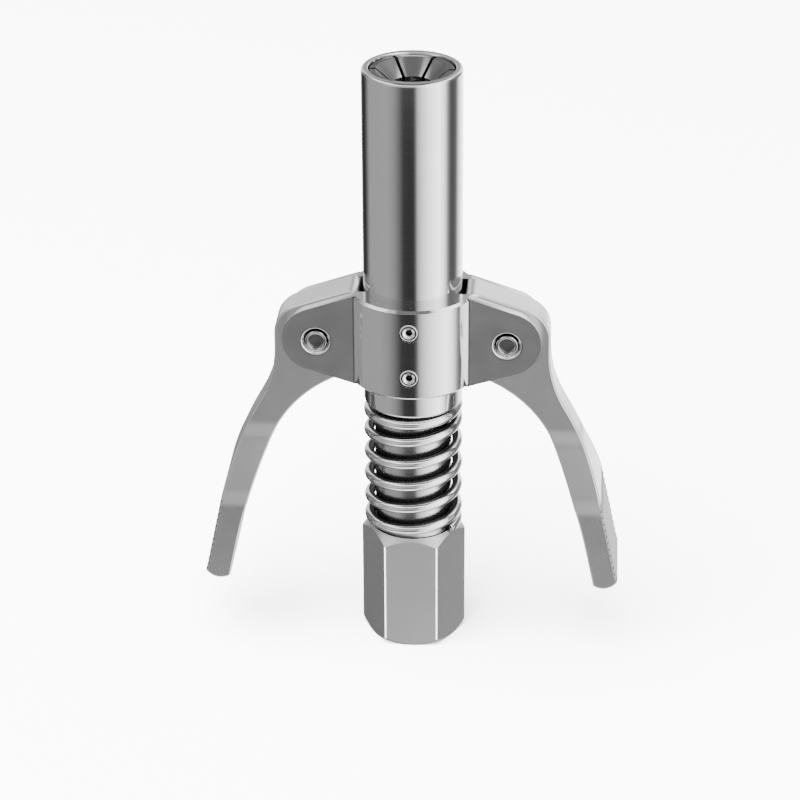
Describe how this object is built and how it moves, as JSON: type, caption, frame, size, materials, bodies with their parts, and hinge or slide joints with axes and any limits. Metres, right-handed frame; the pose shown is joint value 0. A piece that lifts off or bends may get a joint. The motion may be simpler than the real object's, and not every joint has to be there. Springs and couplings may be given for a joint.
{
  "type": "locking grease coupler",
  "caption": "Locking grease coupler: hexagonal inlet end, spring-loaded sleeve closing a ring of jaws on a grease nipple, and squeeze levers on a collar that release it.",
  "frame": {"origin": "centre of the hex end's lower face, under the levers' mid plane", "axes": "+Z along the coupler's axis from the inlet to the mouth, +X towards the right lever, -Y towards the set screws, which are the front"},
  "size_m": [0.0686, 0.0208, 0.1005],
  "materials": {
    "plated_body": "bright nickel plate",
    "plated_sleeve": "polished nickel plate",
    "plated_collar": "satin nickel plate",
    "plated_lever": "satin nickel plate",
    "pin_steel": "turned, bright",
    "screw_steel": "plated, satin",
    "spring_steel": "drawn wire, bright",
    "jaw_steel": "hardened, satin",
    "ring_rubber": "smooth",
    "seal_rubber": "smooth",
    "cup_steel": "turned"
  },
  "bodies": {
    "body": {"hex_body": "plated_body", "main_spring": "spring_steel", "jaw_ring": "ring_rubber", "seal_spring": "spring_steel"},
    "sleeve_group": {"sleeve": "plated_sleeve", "collar": "plated_collar", "lever_pin_left": "pin_steel", "lever_pin_right": "pin_steel", "set_screw_upper": "screw_steel", "set_screw_lower": "screw_steel"},
    "left_lever": {"lever_left": "plated_lever"},
    "right_lever": {"lever_right": "plated_lever"},
    "seal_piston": {"seal": "seal_rubber", "seal_cup": "cup_steel"},
    "jaw_body_1": {"jaw_1": "jaw_steel"},
    "jaw_body_2": {"jaw_2": "jaw_steel"},
    "jaw_body_3": {"jaw_3": "jaw_steel"},
    "jaw_body_4": {"jaw_4": "jaw_steel"},
    "jaw_body_5": {"jaw_5": "jaw_steel"},
    "jaw_body_6": {"jaw_6": "jaw_steel"}
  },
  "joints": [
    {"name": "sleeve_slide", "type": "slide", "parent": "body", "child": "sleeve_group", "axis": [0, 0, -1], "range_m": [0, 0.0037], "stiffness_N_per_m": 2000, "springref_m": -0.003, "deforming": ["main_spring"]},
    {"name": "lever_left_squeeze", "type": "hinge", "parent": "sleeve_group", "child": "left_lever", "pos_m": [-0.0154, 0, 0.055], "axis": [0, -1, 0], "range_deg": [0, 22]},
    {"name": "lever_right_squeeze", "type": "hinge", "parent": "sleeve_group", "child": "right_lever", "pos_m": [0.0154, 0, 0.055], "axis": [0, 1, 0], "range_deg": [0, 22]},
    {"name": "seal_float", "type": "slide", "parent": "body", "child": "seal_piston", "axis": [0, 0, -1], "range_m": [0, 0.001], "stiffness_N_per_m": 500, "springref_m": -0.001, "deforming": ["seal_spring"]},
    {"name": "jaw_1_open", "type": "hinge", "parent": "body", "child": "jaw_body_1", "pos_m": [0, 0.0052, 0.0852], "axis": [-1, 0, 0], "range_deg": [0, 2]},
    {"name": "jaw_2_open", "type": "hinge", "parent": "body", "child": "jaw_body_2", "pos_m": [-0.0045, 0.0026, 0.0852], "axis": [-0.5, -0.866, 0], "range_deg": [0, 2]},
    {"name": "jaw_3_open", "type": "hinge", "parent": "body", "child": "jaw_body_3", "pos_m": [-0.0045, -0.0026, 0.0852], "axis": [0.5, -0.866, 0], "range_deg": [0, 2]},
    {"name": "jaw_4_open", "type": "hinge", "parent": "body", "child": "jaw_body_4", "pos_m": [0, -0.0052, 0.0852], "axis": [1, 0, 0], "range_deg": [0, 2]},
    {"name": "jaw_5_open", "type": "hinge", "parent": "body", "child": "jaw_body_5", "pos_m": [0.0045, -0.0026, 0.0852], "axis": [0.5, 0.866, 0], "range_deg": [0, 2]},
    {"name": "jaw_6_open", "type": "hinge", "parent": "body", "child": "jaw_body_6", "pos_m": [0.0045, 0.0026, 0.0852], "axis": [-0.5, 0.866, 0], "range_deg": [0, 2]}
  ],
  "couplings": [
    {"joint": "lever_left_squeeze", "follows": "sleeve_slide", "rad_per_m": 103.7},
    {"joint": "lever_right_squeeze", "follows": "sleeve_slide", "rad_per_m": 103.7},
    {"joint": "jaw_1_open", "follows": "sleeve_slide", "rad_per_m": 9.4},
    {"joint": "jaw_2_open", "follows": "sleeve_slide", "rad_per_m": 9.4},
    {"joint": "jaw_3_open", "follows": "sleeve_slide", "rad_per_m": 9.4},
    {"joint": "jaw_4_open", "follows": "sleeve_slide", "rad_per_m": 9.4},
    {"joint": "jaw_5_open", "follows": "sleeve_slide", "rad_per_m": 9.4},
    {"joint": "jaw_6_open", "follows": "sleeve_slide", "rad_per_m": 9.4}
  ]
}
